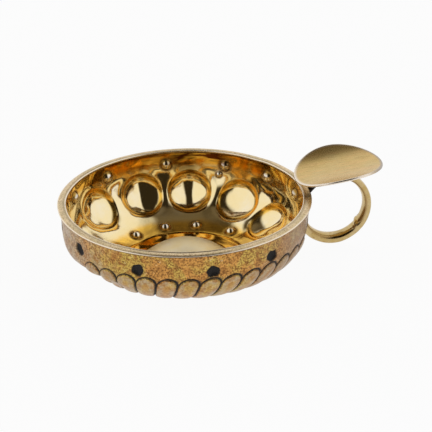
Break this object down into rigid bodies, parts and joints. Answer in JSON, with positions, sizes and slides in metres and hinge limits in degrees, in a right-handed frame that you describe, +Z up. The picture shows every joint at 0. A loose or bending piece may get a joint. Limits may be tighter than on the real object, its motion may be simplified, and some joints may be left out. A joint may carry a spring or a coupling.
{
  "type": "tastevin",
  "caption": "Shallow round wine-tasting bowl in gilt metal with a domed floor, punched cupules, pearls and gadroons, a flat lip, a finger ring and a dished thumb rest.",
  "frame": {"origin": "centre of the flat foot ring, on the table, on the bowl's axis", "axes": "+Z up out of the bowl's mouth, +X from the bowl's axis towards the finger ring, +Y towards the cupules"},
  "size_m": [0.1111, 0.085, 0.0313],
  "materials": {
    "gilt_bowl": "worn gilding, polished inside and dull outside",
    "worn_lip": "rubbed to silver with a warm tint",
    "gilt_ring": "polished, tarnished",
    "satin_rest": "satin, brushed lengthwise",
    "solder": "dull"
  },
  "bodies": {
    "root": {"bowl": "gilt_bowl", "rim_lip": "worn_lip", "ring_handle": "gilt_ring", "thumb_rest": "satin_rest", "ring_upper_solder": "solder", "ring_lower_solder": "solder", "thumb_rest_solder": "solder"}
  },
  "joints": []
}
